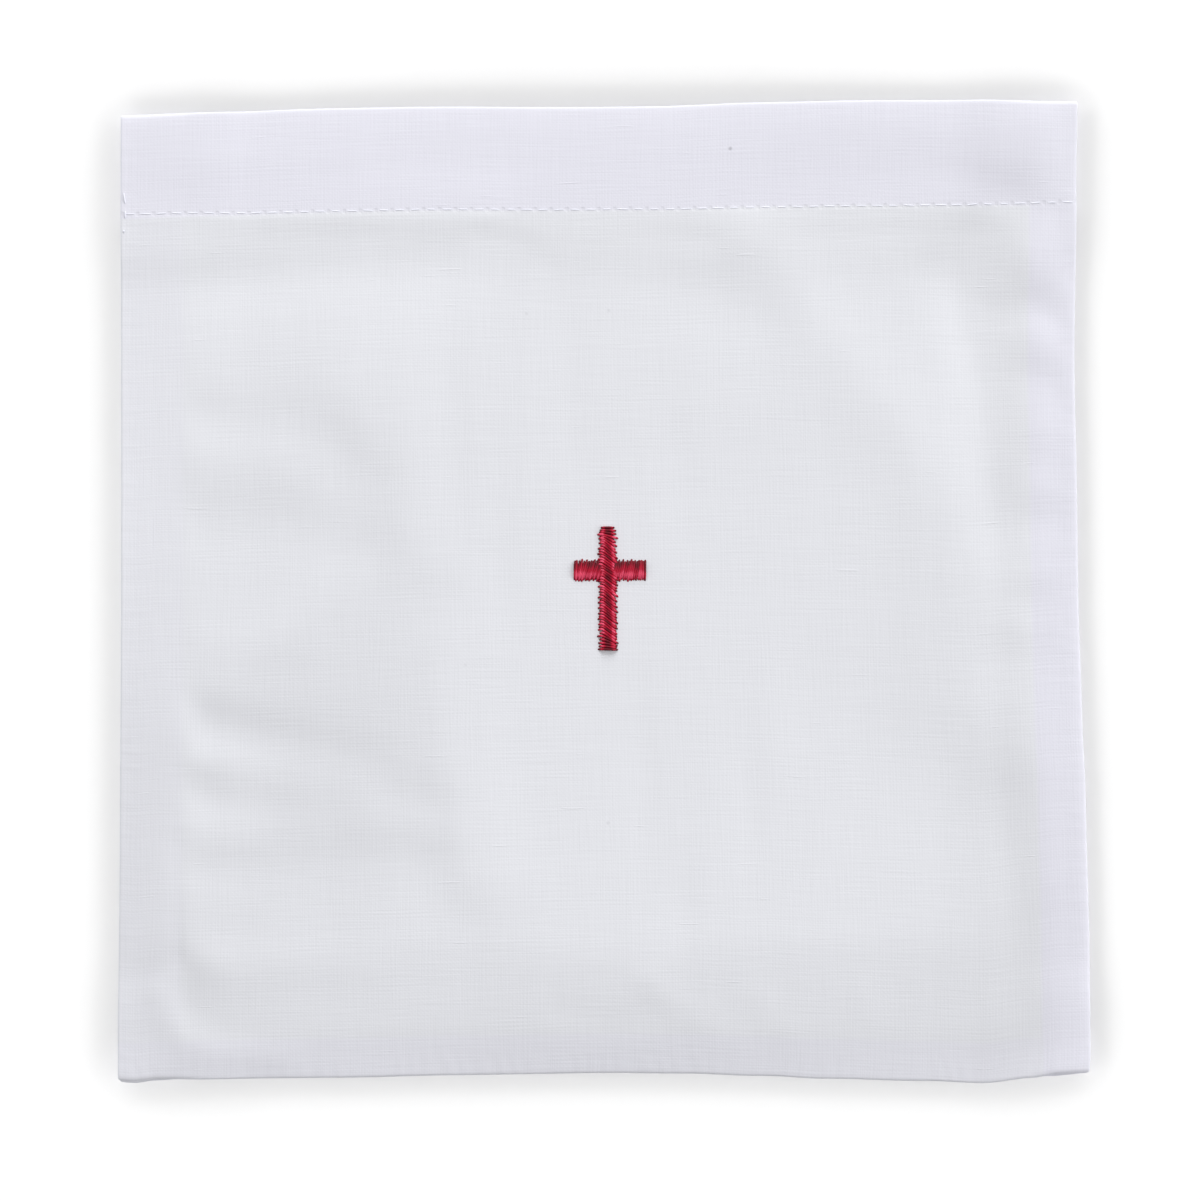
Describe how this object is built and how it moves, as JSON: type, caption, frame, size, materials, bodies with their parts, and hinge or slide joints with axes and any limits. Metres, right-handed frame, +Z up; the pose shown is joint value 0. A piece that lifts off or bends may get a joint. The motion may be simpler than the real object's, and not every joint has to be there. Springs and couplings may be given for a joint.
{
  "type": "chalice pall cover",
  "caption": "Flat square white cloth pocket with a hemmed mouth, seams inside on the other sides and an embroidered Latin cross.",
  "frame": {"origin": "centre of the underside, on the surface the cover lies on", "axes": "+X to the right of the cross, +Y from the foot of the cross to its head and on to the open hemmed mouth, +Z up out of the embroidered face"},
  "size_m": [0.1796, 0.1816, 0.0068],
  "materials": {
    "white_cloth": "matt fine plain weave, cool white",
    "red_thread": "satin stitch in silky crimson thread"
  },
  "bodies": {
    "root": {"back_panel": "white_cloth", "front_panel": "white_cloth", "cross": "red_thread"}
  },
  "joints": []
}
